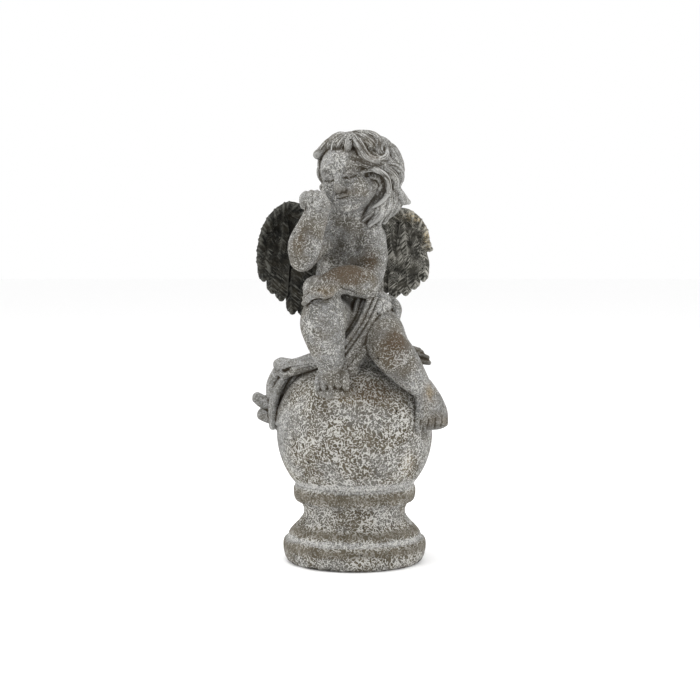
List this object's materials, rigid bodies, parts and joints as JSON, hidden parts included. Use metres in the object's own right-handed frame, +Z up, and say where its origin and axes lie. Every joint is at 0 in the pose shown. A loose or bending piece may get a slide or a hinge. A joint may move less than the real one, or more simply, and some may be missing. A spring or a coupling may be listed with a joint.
{
  "type": "putto statue on a ball finial",
  "caption": "Cast cement garden figure: a winged infant sits chin in hand on a ball that tops a round turned pedestal.",
  "frame": {"origin": "centre of the pedestal's round underside, on the surface that the statue stands on", "axes": "+Z up along the axis of the pedestal and the ball; the figure faces -Y, and its right side is towards -X"},
  "size_m": [0.1836, 0.1583, 0.4031],
  "materials": {
    "weathered_cement": "matte"
  },
  "bodies": {
    "root": {"putto_statue": "weathered_cement"}
  },
  "joints": []
}
